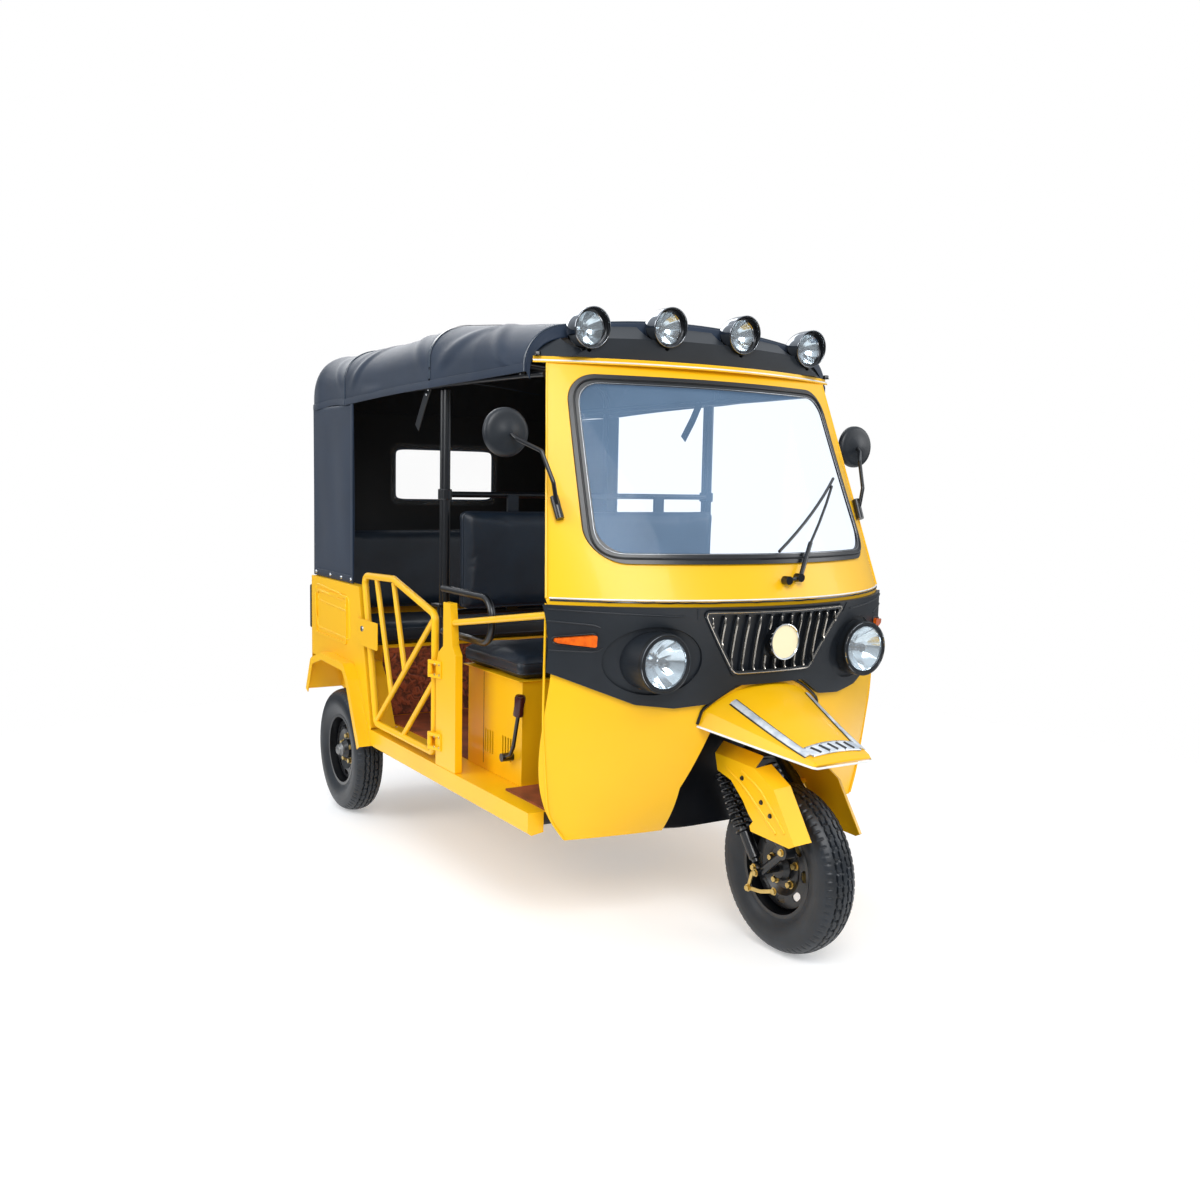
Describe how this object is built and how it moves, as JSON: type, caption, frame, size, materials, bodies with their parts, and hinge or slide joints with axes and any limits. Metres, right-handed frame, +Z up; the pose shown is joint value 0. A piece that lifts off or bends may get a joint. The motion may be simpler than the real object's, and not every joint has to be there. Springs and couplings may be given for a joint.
{
  "type": "auto rickshaw",
  "caption": "Three-wheeled passenger taxi: steel cowl with windscreen and roof lamps, steered front wheel, low side gates, vinyl canopy and two bench seats.",
  "frame": {"origin": "on the ground under the middle of the length and width", "axes": "+Z up, -Y the way the vehicle faces, +X its left side"},
  "size_m": [1.443, 2.5999, 1.8317],
  "materials": {
    "yellow_paint": "gloss",
    "black_frame_paint": "satin",
    "black_rim_paint": "satin",
    "spring_steel": "rough",
    "black_spring": "gloss",
    "cast_alloy": "cast",
    "exhaust_steel": "dull",
    "black_plastic": "satin",
    "charcoal_plastic": "satin",
    "zinc_plate": "plated",
    "black_rubber": "satin",
    "brown_rubber": "ribbed",
    "clear_glass": "clear",
    "lamp_glass": "clear",
    "cream_enamel": "gloss",
    "amber_lens": "gloss",
    "chrome_shell": "polished",
    "navy_vinyl": "coated",
    "clear_vinyl": "clear",
    "black_vinyl": "padded",
    "road_tyre": "moulded"
  },
  "bodies": {
    "body": {"bench_backrest": "black_vinyl", "bench_base": "yellow_paint", "bench_cushion": "black_vinyl", "cab_pillars": "black_frame_paint", "canopy_bows": "black_frame_paint", "canopy_top": "navy_vinyl", "chassis_frame": "black_frame_paint", "controls": "black_frame_paint", "dashboard": "charcoal_plastic", "door_posts": "yellow_paint", "driver_backrest": "black_vinyl", "driver_cushion": "black_vinyl", "engine": "cast_alloy", "exhaust": "exhaust_steel", "floor_mats": "brown_rubber", "floor_pan": "yellow_paint", "front_cowl": "yellow_paint", "front_mask": "charcoal_plastic", "front_mudguard": "yellow_paint", "gate_hinges": "yellow_paint", "grab_loops": "black_frame_paint", "grille": "charcoal_plastic", "grille_badge": "cream_enamel", "guard_bars": "yellow_paint", "headlamp_lenses": "lamp_glass", "headlamps": "charcoal_plastic", "indicators": "amber_lens", "kick_panel": "brown_rubber", "lamp_board": "charcoal_plastic", "leaf_springs": "spring_steel", "mirror_heads": "charcoal_plastic", "mirror_stalks": "black_frame_paint", "rear_arches": "yellow_paint", "rear_axle": "black_frame_paint", "rear_curtain": "navy_vinyl", "rear_tub": "yellow_paint", "rear_window": "clear_vinyl", "roof_lamp_lenses": "lamp_glass", "roof_lamps": "chrome_shell", "roof_visor": "yellow_paint", "seat_box": "yellow_paint", "tail_lamps": "black_plastic", "wheel_well": "black_frame_paint", "windscreen_gasket": "black_rubber", "windscreen_glass": "clear_glass", "wiper": "black_frame_paint"},
    "steering": {"fork": "black_frame_paint", "fork_springs": "black_spring", "fork_covers": "yellow_paint", "handlebar": "black_plastic", "front_brake_plate": "zinc_plate"},
    "front_wheel": {"front_tyre": "road_tyre", "front_rim": "black_rim_paint"},
    "rear_wheel_left": {"rear_left_tyre": "road_tyre", "rear_left_rim": "black_rim_paint"},
    "rear_wheel_right": {"rear_right_tyre": "road_tyre", "rear_right_rim": "black_rim_paint"},
    "gate_left": {"gate_left": "yellow_paint"},
    "gate_right": {"gate_right": "yellow_paint"}
  },
  "joints": [
    {"name": "steer", "type": "hinge", "parent": "body", "child": "steering", "pos_m": [0, -0.88, 0.56], "axis": [0, 0.3644, 0.9312], "range_deg": [-40, 40]},
    {"name": "front_wheel_spin", "type": "hinge", "parent": "steering", "child": "front_wheel", "pos_m": [0, -1.06, 0.24], "axis": [1, 0, 0], "continuous": true},
    {"name": "rear_wheel_left_spin", "type": "hinge", "parent": "body", "child": "rear_wheel_left", "pos_m": [0.585, 0.86, 0.24], "axis": [1, 0, 0], "continuous": true},
    {"name": "rear_wheel_right_spin", "type": "hinge", "parent": "body", "child": "rear_wheel_right", "pos_m": [-0.585, 0.86, 0.24], "axis": [1, 0, 0], "continuous": true},
    {"name": "gate_left_hinge", "type": "hinge", "parent": "body", "child": "gate_left", "pos_m": [0.622, 0.002, 0.57], "axis": [0, 0, -1], "range_deg": [0, 90]},
    {"name": "gate_right_hinge", "type": "hinge", "parent": "body", "child": "gate_right", "pos_m": [-0.622, 0.002, 0.57], "axis": [0, 0, 1], "range_deg": [0, 90]}
  ]
}
